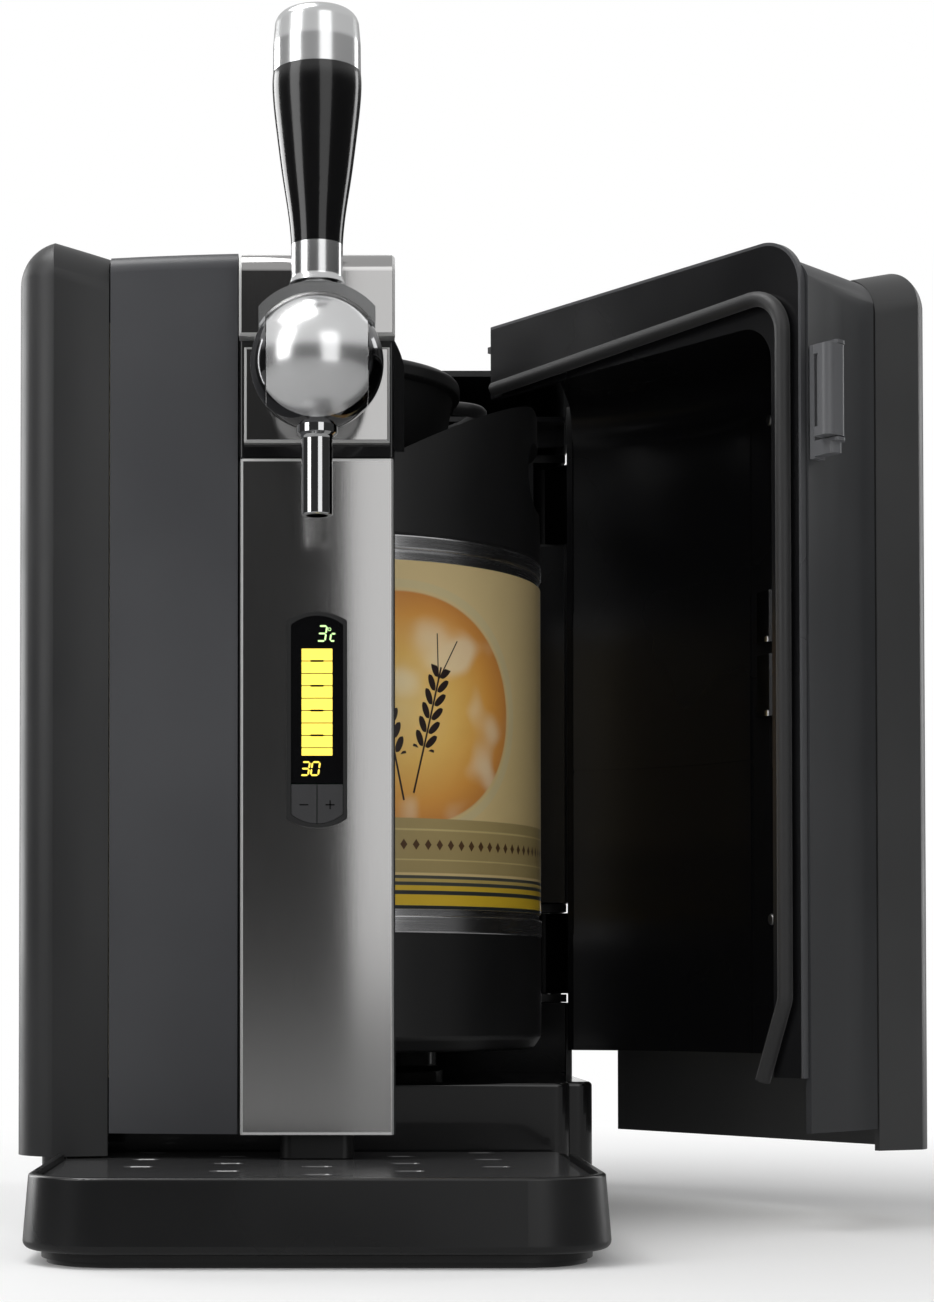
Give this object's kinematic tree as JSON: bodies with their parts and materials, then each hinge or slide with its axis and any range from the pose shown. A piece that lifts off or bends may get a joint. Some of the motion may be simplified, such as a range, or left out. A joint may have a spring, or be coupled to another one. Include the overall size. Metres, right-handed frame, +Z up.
{
  "type": "mini keg beer dispenser",
  "caption": "Countertop keg cooler and tap: a cabinet with an open side door, a keg inside, a tap column with a lever, and a drip tray.",
  "frame": {"origin": "on the table, under the axis of the keg", "axes": "+Z up, -Y is the front with the tap, +X is the side with the door"},
  "size_m": [0.4072, 0.4597, 0.5114],
  "materials": {
    "dark_shell": "fine satin grain",
    "grey_panel": "satin grey-blue paint",
    "black_gloss": "polished black",
    "black_satin": "satin black",
    "inner_wall": "semi-gloss black",
    "brushed_steel": "upright brushing",
    "keg_steel": "turned, brushed round",
    "chrome": "mirror polish",
    "bright_clip": "bright spring steel",
    "screw_steel": "zinc plated",
    "aluminium": "as extruded",
    "keg_wrap": "printed film, khaki and gold",
    "rubber": "matt",
    "hose": "satin",
    "foam": "rigid foam",
    "display_glass": "smoked",
    "board": "green circuit board",
    "ceramic_plate": "matt white",
    "latch_grey": "satin grey"
  },
  "bodies": {
    "cabinet": {"air_pump": "black_satin", "base": "black_gloss", "beer_line": "hose", "bottom_plate": "black_satin", "chamber_liner": "inner_wall", "cold_plate": "aluminium", "column_core": "black_satin", "column_panel": "brushed_steel", "display_board": "board", "display_glass": "display_glass", "display_rim": "chrome", "electronics": "board", "fan_frame": "black_satin", "foot_ring": "rubber", "front_panel": "grey_panel", "heatsink": "aluminium", "hinge_brackets": "black_satin", "hinge_pins": "screw_steel", "insulation": "foam", "keg_rest": "black_gloss", "left_cover": "dark_shell", "peltier_module": "ceramic_plate", "power_inlet": "black_satin", "rear_grille": "black_satin", "rear_housing": "dark_shell", "rear_screws": "screw_steel", "tap_ball": "chrome", "tap_housing": "black_gloss", "tap_lower_cover": "chrome", "tap_spout": "chrome"},
    "door": {"door_wing": "dark_shell", "door_panel": "grey_panel", "door_frame": "inner_wall", "door_liner": "inner_wall", "door_foam": "foam", "door_gasket": "rubber", "door_clips": "bright_clip", "door_screws": "screw_steel", "latch_base": "latch_grey", "hinge_arms": "black_satin"},
    "latch": {"door_latch": "latch_grey"},
    "lever": {"ball_caps": "chrome", "lever_pin": "screw_steel", "lever_yoke": "chrome", "lever_ferrule": "chrome", "handle_grip": "black_gloss", "handle_cap": "chrome"},
    "tap_cover": {"tap_upper_cover": "chrome"},
    "minus_key": {"minus_button": "black_gloss"},
    "plus_key": {"plus_button": "black_gloss"},
    "tray": {"drip_tray": "black_gloss", "drip_grate": "black_satin"},
    "keg": {"keg_shell": "keg_steel", "keg_sleeve": "keg_wrap", "keg_rings": "keg_steel", "keg_collar": "black_satin", "keg_foot": "black_satin", "keg_coupler": "black_satin", "keg_hoses": "hose"},
    "fan": {"fan_impeller": "black_satin"}
  },
  "joints": [
    {"name": "door_hinge", "type": "hinge", "parent": "cabinet", "child": "door", "pos_m": [0.1205, 0.1334, 0.241], "axis": [0, 0, 1], "range_deg": [-38, 47]},
    {"name": "latch_hinge", "type": "hinge", "parent": "door", "child": "latch", "pos_m": [0.22227, -0.12566, 0.36175], "axis": [0, 0, 1], "range_deg": [0, 25], "stiffness_Nm_per_rad": 0.05},
    {"name": "lever_hinge", "type": "hinge", "parent": "cabinet", "child": "lever", "pos_m": [0, -0.165, 0.3642], "axis": [1, 0, 0], "range_deg": [0, 55]},
    {"name": "tap_cover_lift", "type": "slide", "parent": "cabinet", "child": "tap_cover", "axis": [0, 0, 1], "range_m": [0, 0.02]},
    {"name": "minus_press", "type": "slide", "parent": "cabinet", "child": "minus_key", "axis": [0, 1, 0], "range_m": [0, 0.0008], "stiffness_N_per_m": 800},
    {"name": "plus_press", "type": "slide", "parent": "cabinet", "child": "plus_key", "axis": [0, 1, 0], "range_m": [0, 0.0008], "stiffness_N_per_m": 800},
    {"name": "tray_slide", "type": "slide", "parent": "cabinet", "child": "tray", "axis": [0, -1, 0], "range_m": [0, 0.14]},
    {"name": "keg_slide", "type": "slide", "parent": "cabinet", "child": "keg", "axis": [0.9848, -0.1736, 0], "range_m": [0, 0.04]},
    {"name": "fan_spin", "type": "hinge", "parent": "cabinet", "child": "fan", "pos_m": [-0.02, 0.17, 0.25], "axis": [0, 1, 0], "continuous": true}
  ]
}
